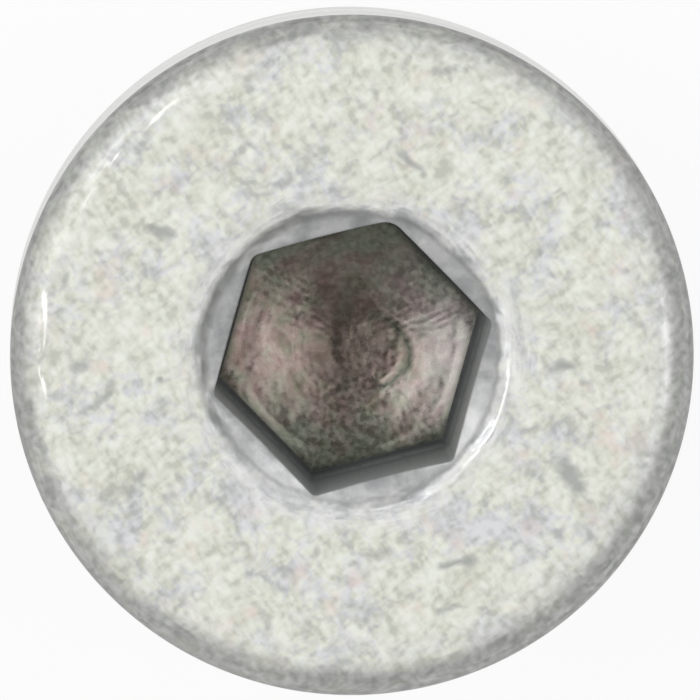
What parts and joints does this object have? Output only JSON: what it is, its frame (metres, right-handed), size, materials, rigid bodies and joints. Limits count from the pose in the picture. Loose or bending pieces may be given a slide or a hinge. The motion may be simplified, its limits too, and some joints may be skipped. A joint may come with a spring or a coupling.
{
  "type": "oil drain plug",
  "caption": "Drain plug with a flat disc head, a countersunk hexagon socket and a short threaded shank.",
  "frame": {"origin": "middle of the shank's flat end, on which the plug stands", "axes": "+Z along the plug's axis from the shank's end to the head's face; two corners of the hexagon socket lie on the X axis"},
  "size_m": [0.022, 0.022, 0.018],
  "materials": {
    "coated_steel": "matt pale zinc coating, mottled, on cold-forged steel"
  },
  "bodies": {
    "root": {"drain_plug": "coated_steel"}
  },
  "joints": []
}
